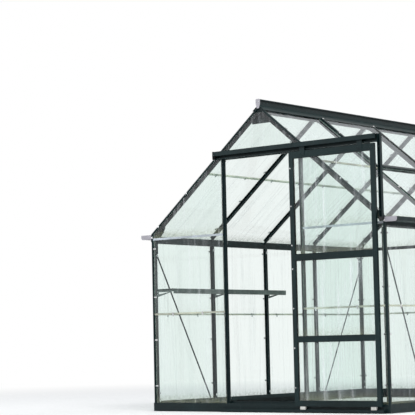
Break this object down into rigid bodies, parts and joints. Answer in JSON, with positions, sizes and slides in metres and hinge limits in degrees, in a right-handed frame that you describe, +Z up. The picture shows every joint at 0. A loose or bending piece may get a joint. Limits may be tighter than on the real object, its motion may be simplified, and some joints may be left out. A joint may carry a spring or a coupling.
{
  "type": "greenhouse",
  "caption": "Small gable-roofed glass greenhouse with a slim metal frame, a sliding gable door on a header track, gutters at the eaves, a roof vent and a narrow inside shelf",
  "frame": {"origin": "on the ground, in the middle of the outline seen from above", "axes": "+Z is up, +Y runs along the ridge away from the door gable, +X is to the right for someone who faces the door"},
  "size_m": [2.086, 2.557, 2.03],
  "materials": {
    "frame_metal": "dark blue-green powder coat on aluminium, satin",
    "glass": "clear 3 mm horticultural glass, slightly green at the edges",
    "end_cap": "pale grey moulded plastic",
    "glazing_strip": "clear to milky extruded plastic",
    "nylon": "white nylon",
    "shelf_metal": "weathered dark coating"
  },
  "bodies": {
    "frame": {"base_sill_left": "frame_metal", "base_sill_right": "frame_metal", "base_sill_front": "frame_metal", "base_sill_back": "frame_metal", "corner_posts": "frame_metal", "side_bars_left": "frame_metal", "side_bars_right": "frame_metal", "eaves_gutter_left": "frame_metal", "eaves_gutter_right": "frame_metal", "end_caps": "end_cap", "front_rafters": "frame_metal", "back_rafters": "frame_metal", "ridge_bar": "frame_metal", "gusset_plates": "frame_metal", "roof_bars_left": "frame_metal", "roof_bars_right": "frame_metal", "door_posts": "frame_metal", "back_gable_posts": "frame_metal", "back_cross_bars": "frame_metal", "door_head_bar": "frame_metal", "door_header_track": "frame_metal", "door_bottom_guide": "frame_metal", "header_support": "frame_metal", "wall_braces": "frame_metal", "front_glazing_strips": "glazing_strip", "left_wall_glass": "glass", "right_wall_glass": "glass", "front_gable_glass": "glass", "back_gable_glass": "glass", "roof_left_lower_glass": "glass", "roof_left_upper_glass": "glass", "roof_right_lower_glass": "glass", "roof_right_upper_glass": "glass", "roof_vent_frame": "frame_metal", "roof_vent_glass": "glass", "roof_vent_sill": "frame_metal", "roof_vent_stay": "frame_metal", "shelf_slats": "shelf_metal", "shelf_brackets": "shelf_metal"},
    "door": {"door_stiles": "frame_metal", "door_rails": "frame_metal", "door_glass": "glass", "door_hangers": "frame_metal", "door_wheels": "nylon", "door_guide_shoes": "nylon"}
  },
  "joints": [
    {"name": "door_slide", "type": "slide", "parent": "frame", "child": "door", "axis": [1, 0, 0], "range_m": [-0.5815, 0]}
  ]
}
